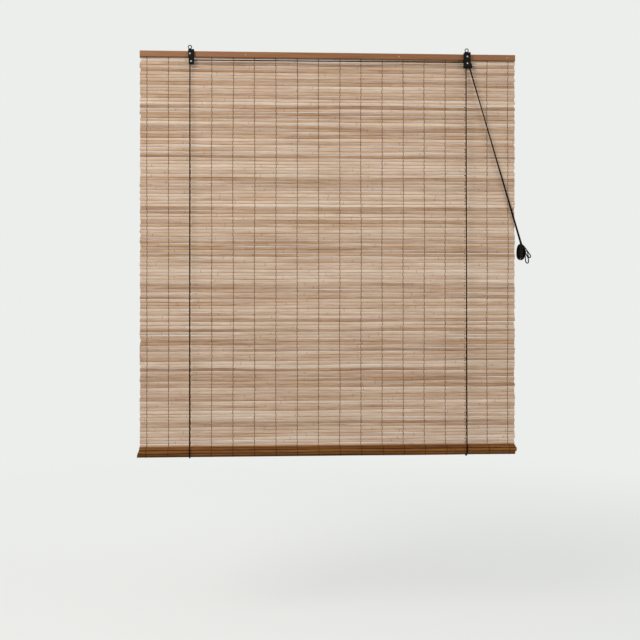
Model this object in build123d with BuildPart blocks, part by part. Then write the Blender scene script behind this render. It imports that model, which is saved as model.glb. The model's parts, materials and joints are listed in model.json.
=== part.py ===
from build123d import *
from math import atan2, cos, degrees, hypot, pi, sin, tan
import os

# Bamboo roll-up blind, in millimetres.
# X runs to the right, Y toward the wall, Z up. The front faces -Y.
# The origin is midway between the two hanging eyes, on the plane of the batten's front face.

os.makedirs("parts", exist_ok=True)

# Head batten
batten_length = 1200.0
batten_height = 19.2
batten_depth = 8.0
batten_edge = 2.2
eye_rise = 12.0

# Bamboo mat: slats run along X, strings run along Z
slat_count = 121
slat_width = 8.3
slat_gap = 2.15
slat_depth = 2.2
slat_crown_share = 0.5
slat_edge_share = 0.55
mat_drop = 3.0
string_count = 18
string_inset = 22.0
string_width = 1.6
string_depth = 0.8
string_lift = 10.0

# Rolled part of the mat and the rod inside it
roll_radius = 18.5
dowel_radius = 6.5
dowel_overhang = 2.0
groove_depth = 1.2

# Cords
cord_radius = 1.5
cord_clearance = 0.3
sling_clearance = 0.9
knot_radius = 2.7
pull_spread = 4.0

# Staples
wire_width = 1.0
staple_bite = 5.0
staple_clearance = 0.1
mat_staple_count = 9

# Pulley plates
plate_depth = 1.4
eye_hole_radius = 4.0
eye_outer_radius = 6.6
eye_neck_width = 9.0
body_top_rise = 4.5
body_corner = 2.5
left_body_shift = 4.0
left_axle_shift = 4.0
left_top_width = 19.0
left_bend_drop = 19.5
left_foot_reach = 7.6
left_foot_spread = 16.6
left_toe_drop = 24.0
left_foot_drop = 43.0
right_top_width = 21.0
right_bend_drop = 27.0
right_foot_reach = 11.5
right_foot_spread = 28.0
right_toe_drop = 41.0
right_foot_drop = 45.0

# Sheaves and axles
left_axle_drop = 33.5
right_axle_drop = 31.0
axle_radius = 1.3
running_clearance = 0.08
side_clearance = 0.4
sheave_radius = 5.6
sheave_width = 5.0
sheave_rim = 0.4
groove_clearance = 0.3
cord_line_radius = 4.0
rivet_head_radius = 2.6
rivet_head_depth = 1.2

# Fixing screws
screw_radius = 1.7
screw_head_radius = 2.8
screw_head_depth = 1.8
screw_bite = 6.0
screw_drop = 9.5
spacer_radius = 4.0
fit_clearance = 0.05

# Cord lock
cam_x = 1.0
cam_drop = 40.6
cam_hub_radius = 2.7
cam_pin_radius = 1.4
cam_tooth = 0.8
cam_tooth_count = 4
cam_nose_height = 4.6
post_radius = 1.6

# Wall cleat, the cord wound on it and two loose bights
cleat_gap = 20.0
cleat_drop = 634.5
wall_gap = 5.5
cleat_base_height = 44.0
cleat_base_width = 15.0
cleat_base_depth = 3.0
cleat_neck_height = 24.0
cleat_neck_width = 9.0
cleat_reach = 21.0
cleat_bar_height = 46.0
cleat_bar_width = 11.0
cleat_bar_depth = 5.0
cleat_horn_rise = 3.0
cleat_edge = 1.2
cleat_hole_radius = 1.8
cleat_sink_radius = 3.4
cleat_hole_spacing = 12.0
hank_height = 54.0
hank_width = 26.0
hank_clearance = 0.3
hank_edge = 3.0
loop_bend = 3.2

overrun = 1.0

# Worked-out places
batten_top_z = -eye_rise
batten_mid_z = batten_top_z - batten_height / 2
slat_pitch = slat_width + slat_gap
mat_width = batten_length
mat_top_z = batten_top_z - mat_drop
mat_height = slat_count * slat_pitch - slat_gap
mat_bottom_z = mat_top_z - mat_height
mat_front_y = batten_depth + string_depth
mat_back_y = mat_front_y + slat_depth
string_pitch = (mat_width - 2 * string_inset) / (string_count - 1)
string_xs = [string_pitch * (k - (string_count - 1) / 2) for k in range(string_count)]
hanger_x = string_xs[-3]
turn_pitch = slat_depth + string_depth
roll_axis_y = mat_back_y - roll_radius
roll_axis_z = mat_top_z - slat_count * slat_pitch
sling_radius = roll_radius + sling_clearance + cord_radius
left_body_x = left_body_shift - hanger_x
left_axle_x = left_axle_shift - hanger_x
left_axle_z = batten_top_z - left_axle_drop
right_axle_z = batten_top_z - right_axle_drop
screw_z = batten_top_z - screw_drop
body_top_z = batten_top_z + body_top_rise
sheave_step = sheave_width + side_clearance
rear_sheave_y = -(plate_depth + side_clearance + sheave_width / 2)
front_sheave_y = rear_sheave_y - sheave_step
left_channel = sheave_width + 2 * side_clearance
right_channel = left_channel + sheave_step
left_cord_x = left_axle_x - cord_line_radius
right_cord_x = hanger_x - cord_line_radius
wall_y = mat_back_y + wall_gap + cord_radius
cleat_x = mat_width / 2 + cleat_gap
cleat_z = batten_top_z - cleat_drop
cleat_base_y = wall_y - cleat_base_depth
bar_back_y = wall_y - cleat_reach + cleat_bar_depth
hank_y = (cleat_base_y + bar_back_y) / 2
hank_depth = cleat_base_y - bar_back_y - 2 * hank_clearance
hank_top_z = cleat_z + hank_height / 2

# Direction in which both cords leave the lock, tangent to their sheaves
reach_x = cleat_x - hanger_x
reach_z = right_axle_z - hank_top_z
lean = atan2(reach_x, reach_z) - atan2(cord_line_radius, hypot(reach_x, reach_z))
leave_x = hanger_x + cord_line_radius * cos(lean)
leave_z = right_axle_z + cord_line_radius * sin(lean)

# Slope of the run across the head, between the two axles
run_rise = atan2(right_axle_z - left_axle_z, hanger_x - left_axle_x)
run_up = (-cord_line_radius * sin(run_rise), cord_line_radius * cos(run_rise))


def front_plane(y):
    """Upright plane facing the viewer at depth y, with local x to the right and local y up."""
    return Plane.XZ.offset(-y)


def save(piece, name):
    """Labels one piece and writes its STEP file."""
    piece.part.label = name
    export_step(piece.part, f"parts/{name}.step")


# Head batten with blind holes for the screws and the staples
batten_screw_spots = [(-hanger_x, screw_z), (hanger_x, screw_z)]
upper_leg_z = mat_top_z + staple_clearance + wire_width / 2
lower_leg_z = mat_top_z - slat_width - slat_gap / 2
mat_staple_step = 2 * string_pitch
mat_staple_xs = [mat_staple_step * (k - (mat_staple_count - 1) / 2) for k in range(mat_staple_count)]
leg_reach = cord_radius + staple_clearance + wire_width / 2
cord_leg_xs = [x + side * leg_reach for x in (left_cord_x, right_cord_x) for side in (-1, 1)]
leg_spots = [(x, z) for x in mat_staple_xs for z in (upper_leg_z, lower_leg_z)]
leg_spots += [(x, lower_leg_z) for x in cord_leg_xs]
with BuildPart() as head_batten:
    with BuildSketch(Plane.YZ):
        with Locations((batten_depth / 2, batten_mid_z)):
            RectangleRounded(batten_depth, batten_height, batten_edge)
    extrude(amount=batten_length / 2, both=True)
    with BuildSketch(front_plane(0)):
        with Locations(*batten_screw_spots):
            Circle(screw_radius)
    extrude(amount=-screw_bite, mode=Mode.SUBTRACT)
    with BuildSketch(front_plane(batten_depth)):
        with Locations(*leg_spots):
            Rectangle(wire_width, wire_width)
    extrude(amount=staple_bite, mode=Mode.SUBTRACT)
save(head_batten, "head_batten")

# Hanging mat: crowned slats, tied into one wall by the two outer back strings
slat_half = slat_width / 2
slat_shoulder = slat_depth * (1 - slat_edge_share)
slat_outline = [
    (mat_back_y, -slat_half),
    (mat_back_y, slat_half),
    (mat_front_y + slat_shoulder, slat_half),
    (mat_front_y, slat_half * slat_crown_share),
    (mat_front_y, -slat_half * slat_crown_share),
    (mat_front_y + slat_shoulder, -slat_half),
]
slat_mids = [(0, mat_top_z - slat_half - slat_pitch * k) for k in range(slat_count)]
mat_mid_z = (mat_top_z + mat_bottom_z) / 2
with BuildPart() as slat_mat:
    with BuildSketch(Plane.YZ):
        with BuildLine():
            Polyline(*slat_outline, close=True)
        slat_face = make_face(mode=Mode.PRIVATE)
        with Locations(*slat_mids):
            add(slat_face)
    extrude(amount=mat_width / 2, both=True)
    with BuildSketch(front_plane(mat_back_y)):
        with Locations((string_xs[0], mat_mid_z), (string_xs[-1], mat_mid_z)):
            Rectangle(string_width, mat_height)
    extrude(amount=-string_depth)
save(slat_mat, "slat_mat")

# The other strings: all of the front ones, and the back ones between the outer two
front_string_bottom_z = roll_axis_z + string_lift
front_string_height = mat_top_z - front_string_bottom_z
front_string_spots = [(x, mat_top_z - front_string_height / 2) for x in string_xs]
back_string_spots = [(x, mat_mid_z) for x in string_xs[1:-1]]
with BuildPart() as warp_strings:
    with BuildSketch(front_plane(mat_front_y)):
        with Locations(*front_string_spots):
            Rectangle(string_width, front_string_height)
    extrude(amount=string_depth)
    with BuildSketch(front_plane(mat_back_y)):
        with Locations(*back_string_spots):
            Rectangle(string_width, mat_height)
    extrude(amount=-string_depth)
save(warp_strings, "warp_strings")

# Staples of square wire: each mat staple straddles the top slat, each cord staple straddles a cord end
cord_line_y = roll_axis_y + sling_radius
cord_crown_y = cord_line_y + cord_radius + staple_clearance
leg_tip_y = batten_depth - staple_bite
leg_mid_z = (upper_leg_z + lower_leg_z) / 2
mat_crown_height = upper_leg_z - lower_leg_z + wire_width
with BuildPart() as mat_staples:
    with BuildSketch(front_plane(leg_tip_y)):
        with Locations(*[(x, z) for x in mat_staple_xs for z in (upper_leg_z, lower_leg_z)]):
            Rectangle(wire_width, wire_width)
    extrude(amount=leg_tip_y - mat_back_y)
    with BuildSketch(front_plane(mat_back_y)):
        with Locations(*[(x, leg_mid_z) for x in mat_staple_xs]):
            Rectangle(wire_width, mat_crown_height)
    extrude(amount=-wire_width)
save(mat_staples, "mat_staples")

cord_crown_width = 2 * leg_reach + wire_width
with BuildPart() as cord_staples:
    with BuildSketch(front_plane(leg_tip_y)):
        with Locations(*[(x, lower_leg_z) for x in cord_leg_xs]):
            Rectangle(wire_width, wire_width)
    extrude(amount=leg_tip_y - cord_crown_y)
    with BuildSketch(front_plane(cord_crown_y)):
        with Locations((left_cord_x, lower_leg_z), (right_cord_x, lower_leg_z)):
            Rectangle(cord_crown_width, wire_width)
    extrude(amount=-wire_width)
save(cord_staples, "cord_staples")


# Pulleys: a back plate with the hanging eye, a front plate, a spacer, a screw, an axle and sheaves
def body_points(middle_x, top_width, bend_drop, foot_reach, foot_spread, toe_drop, foot_drop):
    """Outline of a pulley body whose foot reaches some way left of its middle line."""
    right_reach = [top_width / 2, top_width / 2, foot_spread - foot_reach, foot_spread - foot_reach]
    left_reach = [top_width / 2, top_width / 2, foot_reach, foot_reach]
    heights = [body_top_z] + [batten_top_z - drop for drop in (bend_drop, toe_drop, foot_drop)]
    right_side = [(middle_x + reach, z) for reach, z in zip(right_reach, heights)]
    left_side = [(middle_x - reach, z) for reach, z in zip(left_reach, heights)]
    return right_side + left_side[::-1]


left_points = body_points(
    left_body_x,
    left_top_width,
    left_bend_drop,
    left_foot_reach,
    left_foot_spread,
    left_toe_drop,
    left_foot_drop,
)
right_points = body_points(
    hanger_x,
    right_top_width,
    right_bend_drop,
    right_foot_reach,
    right_foot_spread,
    right_toe_drop,
    right_foot_drop,
)
neck_height = body_corner - body_top_z
neck_mid_z = body_top_z - body_corner + neck_height / 2
cam_middle_x = hanger_x + cam_x
cam_z = batten_top_z - cam_drop
screw_hole_radius = screw_radius + fit_clearance
axle_hole_radius = axle_radius + fit_clearance
pin_hole_radius = cam_pin_radius + fit_clearance
post_hole_radius = post_radius + fit_clearance

# Where the pull cords pass the lock, and the post on their far side
cord_at_cam_x = leave_x + (leave_z - cam_z) * tan(lean)
post_offset = cord_radius + cord_clearance + post_radius
post_x = cord_at_cam_x + post_offset * cos(lean)
post_z = cam_z + post_offset * sin(lean)

with BuildPart() as left_back_plate:
    with BuildSketch(front_plane(0)) as plate:
        with BuildLine():
            Polyline(*left_points, close=True)
        make_face()
        fillet(plate.vertices(), body_corner)
        with Locations((-hanger_x, 0)):
            Circle(eye_outer_radius)
        with Locations((-hanger_x, neck_mid_z)):
            Rectangle(eye_neck_width, neck_height)
        with Locations((-hanger_x, 0)):
            Circle(eye_hole_radius, mode=Mode.SUBTRACT)
        with Locations((-hanger_x, screw_z)):
            Circle(screw_hole_radius, mode=Mode.SUBTRACT)
        with Locations((left_axle_x, left_axle_z)):
            Circle(axle_hole_radius, mode=Mode.SUBTRACT)
    extrude(amount=plate_depth)
save(left_back_plate, "left_back_plate")

left_front_y = -plate_depth - left_channel
with BuildPart() as left_front_plate:
    with BuildSketch(front_plane(left_front_y)) as plate:
        with BuildLine():
            Polyline(*left_points, close=True)
        make_face()
        fillet(plate.vertices(), body_corner)
        with Locations((-hanger_x, screw_z)):
            Circle(screw_hole_radius, mode=Mode.SUBTRACT)
        with Locations((left_axle_x, left_axle_z)):
            Circle(axle_hole_radius, mode=Mode.SUBTRACT)
    extrude(amount=plate_depth)
save(left_front_plate, "left_front_plate")

with BuildPart() as right_back_plate:
    with BuildSketch(front_plane(0)) as plate:
        with BuildLine():
            Polyline(*right_points, close=True)
        make_face()
        fillet(plate.vertices(), body_corner)
        with Locations((hanger_x, 0)):
            Circle(eye_outer_radius)
        with Locations((hanger_x, neck_mid_z)):
            Rectangle(eye_neck_width, neck_height)
        with Locations((hanger_x, 0)):
            Circle(eye_hole_radius, mode=Mode.SUBTRACT)
        with Locations((hanger_x, screw_z)):
            Circle(screw_hole_radius, mode=Mode.SUBTRACT)
        with Locations((hanger_x, right_axle_z)):
            Circle(axle_hole_radius, mode=Mode.SUBTRACT)
        with Locations((cam_middle_x, cam_z)):
            Circle(pin_hole_radius, mode=Mode.SUBTRACT)
        with Locations((post_x, post_z)):
            Circle(post_hole_radius, mode=Mode.SUBTRACT)
    extrude(amount=plate_depth)
save(right_back_plate, "right_back_plate")

right_front_y = -plate_depth - right_channel
with BuildPart() as right_front_plate:
    with BuildSketch(front_plane(right_front_y)) as plate:
        with BuildLine():
            Polyline(*right_points, close=True)
        make_face()
        fillet(plate.vertices(), body_corner)
        with Locations((hanger_x, screw_z)):
            Circle(screw_hole_radius, mode=Mode.SUBTRACT)
        with Locations((hanger_x, right_axle_z)):
            Circle(axle_hole_radius, mode=Mode.SUBTRACT)
        with Locations((cam_middle_x, cam_z)):
            Circle(pin_hole_radius, mode=Mode.SUBTRACT)
        with Locations((post_x, post_z)):
            Circle(post_hole_radius, mode=Mode.SUBTRACT)
    extrude(amount=plate_depth)
save(right_front_plate, "right_front_plate")

# Spacers between the plates, round the screws
with BuildPart() as left_spacer:
    with BuildSketch(front_plane(-plate_depth)):
        with Locations((-hanger_x, screw_z)):
            Circle(spacer_radius)
            Circle(screw_hole_radius, mode=Mode.SUBTRACT)
    extrude(amount=left_channel)
save(left_spacer, "left_spacer")

with BuildPart() as right_spacer:
    with BuildSketch(front_plane(-plate_depth)):
        with Locations((hanger_x, screw_z)):
            Circle(spacer_radius)
            Circle(screw_hole_radius, mode=Mode.SUBTRACT)
    extrude(amount=right_channel)
save(right_spacer, "right_spacer")

# Screws: bevelled head in front, shank into the batten
left_face_y = left_front_y - plate_depth
right_face_y = right_front_y - plate_depth
head_bevel = screw_head_depth * 2 / 3
with BuildPart() as left_screw:
    with BuildSketch(front_plane(left_face_y)):
        with Locations((-hanger_x, screw_z)):
            Circle(screw_head_radius)
    extrude(amount=screw_head_depth)
    chamfer(left_screw.faces().sort_by(Axis.Y)[0].edges(), head_bevel)
    with BuildSketch(front_plane(left_face_y)):
        with Locations((-hanger_x, screw_z)):
            Circle(screw_radius)
    extrude(amount=left_face_y - screw_bite)
save(left_screw, "left_screw")

with BuildPart() as right_screw:
    with BuildSketch(front_plane(right_face_y)):
        with Locations((hanger_x, screw_z)):
            Circle(screw_head_radius)
    extrude(amount=screw_head_depth)
    chamfer(right_screw.faces().sort_by(Axis.Y)[0].edges(), head_bevel)
    with BuildSketch(front_plane(right_face_y)):
        with Locations((hanger_x, screw_z)):
            Circle(screw_radius)
    extrude(amount=right_face_y - screw_bite)
save(right_screw, "right_screw")

# Axles: rivets with a bevelled head on each side of the plates
rivet_bevel = rivet_head_depth * 2 / 3
with BuildPart() as left_axle:
    with BuildSketch(front_plane(left_face_y), front_plane(rivet_head_depth)):
        with Locations((left_axle_x, left_axle_z)):
            Circle(rivet_head_radius)
    extrude(amount=rivet_head_depth)
    chamfer(left_axle.faces().sort_by(Axis.Y)[0].edges(), rivet_bevel)
    chamfer(left_axle.faces().sort_by(Axis.Y)[-1].edges(), rivet_bevel)
    with BuildSketch(front_plane(0)):
        with Locations((left_axle_x, left_axle_z)):
            Circle(axle_radius)
    extrude(amount=-left_face_y)
save(left_axle, "left_axle")

with BuildPart() as right_axle:
    with BuildSketch(front_plane(right_face_y), front_plane(rivet_head_depth)):
        with Locations((hanger_x, right_axle_z)):
            Circle(rivet_head_radius)
    extrude(amount=rivet_head_depth)
    chamfer(right_axle.faces().sort_by(Axis.Y)[0].edges(), rivet_bevel)
    chamfer(right_axle.faces().sort_by(Axis.Y)[-1].edges(), rivet_bevel)
    with BuildSketch(front_plane(0)):
        with Locations((hanger_x, right_axle_z)):
            Circle(axle_radius)
    extrude(amount=-right_face_y)
save(right_axle, "right_axle")

# Sheaves: half of the section with a V groove for the cord, turned about the axle
bore_radius = axle_radius + running_clearance
seat_half = cord_radius + groove_clearance
seat_radius = cord_line_radius - cord_radius - groove_clearance
sheave_half = sheave_width / 2
lip_half = sheave_half - sheave_rim


def sheave_points(middle_y, axle_z):
    """Corners of a sheave's section above its axle, from the groove's seat round by the bore."""
    half_section = [
        (seat_half, seat_radius),
        (lip_half, sheave_radius),
        (sheave_half, sheave_radius),
        (sheave_half, bore_radius),
    ]
    near_side = [(middle_y - y, axle_z + r) for y, r in half_section]
    far_side = [(middle_y + y, axle_z + r) for y, r in reversed(half_section)]
    return near_side + far_side


sheave_places = [
    ("left_sheave", left_axle_x, rear_sheave_y, left_axle_z),
    ("right_rear_sheave", hanger_x, rear_sheave_y, right_axle_z),
    ("right_front_sheave", hanger_x, front_sheave_y, right_axle_z),
]
for sheave_name, sheave_x, sheave_y, axle_z in sheave_places:
    with BuildPart() as sheave:
        with BuildSketch(Plane.YZ.offset(sheave_x)):
            with BuildLine():
                Polyline(*sheave_points(sheave_y, axle_z), close=True)
            make_face()
        revolve(axis=Axis((sheave_x, 0, axle_z), (0, 1, 0)))
    save(sheave, sheave_name)

# Cord lock: a toothed cam on a pin, and the post that the cam presses the cords against
cam_width = right_channel - 2 * side_clearance
along = (sin(lean), -cos(lean))
across = (cos(lean), sin(lean))
face_offset = cord_radius + cord_clearance


def nose_point(down_share, back):
    """Point on the cam's toothed face, a share of its height down and some way back from the cords."""
    down = (down_share - 1 / 2) * cam_nose_height
    x = cord_at_cam_x + along[0] * down - across[0] * (face_offset + back)
    z = cam_z + along[1] * down - across[1] * (face_offset + back)
    return (x, z)


nose = [(cam_middle_x, cam_z + cam_hub_radius)]
for tooth in range(cam_tooth_count):
    nose.append(nose_point(tooth / cam_tooth_count, cam_tooth))
    nose.append(nose_point(tooth / cam_tooth_count, 0))
nose.append(nose_point(1, cam_tooth))
nose.append((cam_middle_x, cam_z - cam_hub_radius))
with BuildPart() as lock_cam:
    with BuildSketch(front_plane(-plate_depth - side_clearance)):
        with BuildLine():
            Polyline(*nose, close=True)
        make_face()
        with Locations((cam_middle_x, cam_z)):
            Circle(cam_hub_radius)
            Circle(cam_pin_radius + running_clearance, mode=Mode.SUBTRACT)
    extrude(amount=cam_width)
save(lock_cam, "lock_cam")

with BuildPart() as cam_pin:
    with BuildSketch(front_plane(0)):
        with Locations((cam_middle_x, cam_z)):
            Circle(cam_pin_radius)
    extrude(amount=-right_face_y)
save(cam_pin, "cam_pin")

with BuildPart() as stop_post:
    with BuildSketch(front_plane(0)):
        with Locations((post_x, post_z)):
            Circle(post_radius)
    extrude(amount=-right_face_y)
save(stop_post, "stop_post")

# Lift cords: a back run with a knot at its top, a bight under the roll and a front run, on each side
sling_axis = Axis((0, roll_axis_y, roll_axis_z), (-1, 0, 0))
knot_z = mat_top_z + knot_radius + cord_clearance
run_places = [
    ("left", left_cord_x, rear_sheave_y, left_axle_z),
    ("right", right_cord_x, front_sheave_y, right_axle_z),
]
front_line_y = roll_axis_y - sling_radius
for side_name, cord_x, sheave_y, axle_z in run_places:
    with BuildPart() as back_run:
        with BuildSketch(Plane.XY.offset(roll_axis_z)):
            with Locations((cord_x, cord_line_y)):
                Circle(cord_radius)
        extrude(amount=knot_z - roll_axis_z)
        with Locations((cord_x, cord_line_y, knot_z)):
            Sphere(knot_radius)
    save(back_run, f"{side_name}_back_run")

    with BuildPart() as bight:
        with BuildSketch(Plane.XY.offset(roll_axis_z)):
            with Locations((cord_x, cord_line_y)):
                Circle(cord_radius)
        revolve(axis=sling_axis, revolution_arc=180)
    save(bight, f"{side_name}_bight")

    rise = Vector(0, sheave_y - front_line_y, axle_z - roll_axis_z)
    with BuildPart() as front_run:
        with BuildSketch(Plane.XY.offset(roll_axis_z)):
            with Locations((cord_x, front_line_y)):
                Circle(cord_radius)
        extrude(amount=rise.length, dir=rise)
    save(front_run, f"{side_name}_front_run")

# The left cord over its sheave, across the head and over the rear sheave of the lock
lean_angle = degrees(lean)
run_angle = degrees(run_rise)
with BuildPart() as cross_run:
    with BuildLine(front_plane(rear_sheave_y)) as path:
        CenterArc((left_axle_x, left_axle_z), cord_line_radius, 180, run_angle - 90)
        Line(
            (left_axle_x + run_up[0], left_axle_z + run_up[1]),
            (hanger_x + run_up[0], right_axle_z + run_up[1]),
        )
        CenterArc((hanger_x, right_axle_z), cord_line_radius, 90 + run_angle, lean_angle - run_angle - 90)
    with BuildSketch(Plane((left_cord_x, rear_sheave_y, left_axle_z), z_dir=(0, 0, 1))):
        Circle(cord_radius)
    sweep(path=path.wire())
save(cross_run, "cross_run")

# Both pull cords from the lock to the cleat
leave_direction = Vector(sin(lean), 0, -cos(lean))
rear_leave = Vector(leave_x, rear_sheave_y, leave_z)
front_leave = Vector(leave_x, front_sheave_y, leave_z)
pull_end_z = hank_top_z + 2 * cord_clearance
left_pull = Vector(cleat_x - pull_spread / 2, hank_y, pull_end_z) - rear_leave
right_pull = Vector(cleat_x + pull_spread / 2, hank_y, pull_end_z) - front_leave
with BuildPart() as left_pull_cord:
    with BuildSketch(Plane(rear_leave, z_dir=leave_direction)):
        Circle(cord_radius)
    extrude(amount=left_pull.length, dir=left_pull)
save(left_pull_cord, "left_pull_cord")

with BuildPart() as right_pull_cord:
    with BuildLine(front_plane(front_sheave_y)) as path:
        CenterArc((hanger_x, right_axle_z), cord_line_radius, 180, lean_angle - 180)
    with BuildSketch(Plane((right_cord_x, front_sheave_y, right_axle_z), z_dir=(0, 0, 1))):
        Circle(cord_radius)
    sweep(path=path.wire())
    with BuildSketch(Plane(front_leave, z_dir=leave_direction)):
        Circle(cord_radius)
    extrude(amount=right_pull.length, dir=right_pull)
save(right_pull_cord, "right_pull_cord")


# Rolled part of the mat: one band wound inward from the back of the roll, grooved between its slats
def roll_radius_at(angle):
    """Radius of the band's outer face after turning through an angle from the back of the roll."""
    return roll_radius - turn_pitch * angle / (2 * pi)


def roll_point(angle, inset):
    """Point of the band at an angle round from the back, some way in from its outer face."""
    radius = roll_radius_at(angle) - inset
    return (roll_axis_y + radius * cos(angle), roll_axis_z - radius * sin(angle))


inner_limit = dowel_radius + slat_depth
outer_line = []
inner_line = []
turn_angle = 0
while roll_radius_at(turn_angle + slat_width / roll_radius_at(turn_angle)) > inner_limit:
    slat_turn = slat_width / roll_radius_at(turn_angle)
    gap_turn = slat_gap / roll_radius_at(turn_angle)
    for part_turn in (0, slat_turn / 2, slat_turn):
        outer_line.append(roll_point(turn_angle + part_turn, 0))
    for part_turn in (slat_turn, slat_turn + gap_turn):
        outer_line.append(roll_point(turn_angle + part_turn, groove_depth))
    for part_turn in (0, slat_turn / 2, slat_turn):
        inner_line.append(roll_point(turn_angle + part_turn, slat_depth))
    turn_angle += slat_turn + gap_turn
outer_line = outer_line[:-2]
with BuildPart() as rolled_mat:
    with BuildSketch(Plane.YZ):
        with BuildLine():
            Polyline(*outer_line, *reversed(inner_line), close=True)
        make_face()
    extrude(amount=mat_width / 2, both=True)
save(rolled_mat, "rolled_mat")

with BuildPart() as bottom_dowel:
    with BuildSketch(Plane.YZ):
        with Locations((roll_axis_y, roll_axis_z)):
            Circle(dowel_radius)
    extrude(amount=mat_width / 2 + dowel_overhang, both=True)
save(bottom_dowel, "bottom_dowel")

# Wall cleat: base, neck and a bar whose horns stand forward at both ends
bar_front_y = bar_back_y - cleat_bar_depth
bar_half = cleat_bar_height / 2
neck_half = cleat_neck_height / 2
horn_tip_depth = cleat_bar_depth / 2
bar_side = [
    (bar_back_y, neck_half),
    (bar_back_y - cleat_horn_rise, bar_half),
    (bar_back_y - cleat_horn_rise - horn_tip_depth, bar_half),
    (bar_front_y, neck_half),
]
bar_outline = bar_side + [(y, -z) for y, z in reversed(bar_side)]
cleat_holes = [(cleat_x, cleat_z - cleat_hole_spacing / 2), (cleat_x, cleat_z + cleat_hole_spacing / 2)]
with BuildPart() as cord_cleat:
    with BuildSketch(Plane.YZ.offset(cleat_x)):
        with BuildLine():
            Polyline(*[(y, cleat_z + z) for y, z in bar_outline], close=True)
        make_face()
    extrude(amount=cleat_bar_width / 2, both=True)
    with BuildSketch(front_plane(bar_back_y)):
        with Locations((cleat_x, cleat_z)):
            SlotOverall(cleat_bar_height, cleat_bar_width, rotation=90)
    extrude(amount=cleat_reach, mode=Mode.INTERSECT)
    fillet(cord_cleat.edges().filter_by(Axis.X), cleat_edge / 2)
    with BuildSketch(front_plane(bar_back_y)):
        with Locations((cleat_x, cleat_z)):
            SlotOverall(cleat_neck_height, cleat_neck_width, rotation=90)
    extrude(amount=bar_back_y - cleat_base_y)
    with BuildSketch(front_plane(wall_y)):
        with Locations((cleat_x, cleat_z)):
            SlotOverall(cleat_base_height, cleat_base_width, rotation=90)
    extrude(amount=cleat_base_depth)
    with BuildSketch(front_plane(bar_front_y - overrun)):
        with Locations(*cleat_holes):
            Circle(cleat_hole_radius)
    extrude(amount=-cleat_reach - 2 * overrun, mode=Mode.SUBTRACT)
    with BuildSketch(front_plane(bar_front_y)):
        with Locations(*cleat_holes):
            Circle(cleat_sink_radius)
    extrude(amount=cleat_hole_radius - cleat_sink_radius, taper=45, mode=Mode.SUBTRACT)
save(cord_cleat, "cord_cleat")

# Cord wound on the cleat, as one solid round its neck
with BuildPart() as cord_hank:
    with BuildSketch(front_plane(hank_y + hank_depth / 2)):
        with Locations((cleat_x, cleat_z)):
            Ellipse(hank_width / 2, hank_height / 2)
    extrude(amount=hank_depth)
    fillet(cord_hank.edges(), hank_edge)
    with BuildSketch(front_plane(hank_y + hank_depth)):
        with Locations((cleat_x, cleat_z)):
            SlotOverall(
                cleat_neck_height + 2 * hank_clearance,
                cleat_neck_width + 2 * hank_clearance,
                rotation=90,
            )
    extrude(amount=2 * hank_depth, mode=Mode.SUBTRACT)
save(cord_hank, "cord_hank")

# Two loose bights of cord hanging from the right of the hank, in shares of the hank's size
loop_shares = [
    [
        (0.192, 0.315),
        (0.346, 0.398),
        (1.308, -0.269),
        (1.088, -0.343),
        (0.615, -0.056),
        (0.231, 0.037),
    ],
    [
        (0.231, -0.167),
        (0.558, -0.259),
        (0.712, -0.694),
        (0.969, -0.713),
        (0.942, -0.37),
        (0.481, -0.111),
        (0.231, -0.056),
    ],
]
with BuildPart() as cord_loops:
    for loop in loop_shares:
        loop_points = [(cleat_x + u * hank_width, cleat_z + v * hank_height) for u, v in loop]
        with BuildLine(front_plane(hank_y)) as path:
            FilletPolyline(*loop_points, radius=loop_bend)
        with BuildSketch(Plane(path.wire() @ 0, z_dir=path.wire() % 0)):
            Circle(cord_radius)
        sweep(path=path.wire())
save(cord_loops, "cord_loops")

print("cord bends: sheave", cord_line_radius, "sling", sling_radius, "loose bights", loop_bend)
for name, piece in (("cross_run", cross_run), ("right_pull_cord", right_pull_cord)):
    print(name, "volume over section", round(piece.part.volume / (pi * cord_radius**2), 1))
print("roll axis", round(roll_axis_y, 2), round(roll_axis_z, 2), "turns", round(turn_angle / (2 * pi), 2))
print("lean", round(lean_angle, 2), "wall plane", wall_y, "hanger", hanger_x)
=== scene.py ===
import json
import math
import random

import bmesh
import bpy
import numpy as np
from mathutils import Matrix, Vector


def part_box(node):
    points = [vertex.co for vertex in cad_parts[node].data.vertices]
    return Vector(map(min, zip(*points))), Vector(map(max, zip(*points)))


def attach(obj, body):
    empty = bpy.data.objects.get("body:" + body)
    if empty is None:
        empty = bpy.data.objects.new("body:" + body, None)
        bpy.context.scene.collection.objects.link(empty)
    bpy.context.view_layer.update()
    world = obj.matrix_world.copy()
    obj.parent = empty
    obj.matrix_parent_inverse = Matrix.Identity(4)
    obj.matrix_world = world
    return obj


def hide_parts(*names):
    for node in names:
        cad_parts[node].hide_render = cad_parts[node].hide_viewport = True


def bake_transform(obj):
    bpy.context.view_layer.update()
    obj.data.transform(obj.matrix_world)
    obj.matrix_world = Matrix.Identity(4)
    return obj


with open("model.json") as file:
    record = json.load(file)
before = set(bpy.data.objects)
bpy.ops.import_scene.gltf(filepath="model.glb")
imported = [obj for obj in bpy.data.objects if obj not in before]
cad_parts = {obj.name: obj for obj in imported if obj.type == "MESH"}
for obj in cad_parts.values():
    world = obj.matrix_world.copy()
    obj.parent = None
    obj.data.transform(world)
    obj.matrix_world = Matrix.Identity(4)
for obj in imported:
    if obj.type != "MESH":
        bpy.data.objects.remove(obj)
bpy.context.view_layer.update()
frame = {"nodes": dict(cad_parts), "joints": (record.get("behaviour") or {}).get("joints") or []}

# A split-bamboo roll-up blind, dressed over its CAD frame. Sizes are in metres, in the frame's axes:
# X to the right, Y toward the wall, Z up.

MM = 0.001

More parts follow.
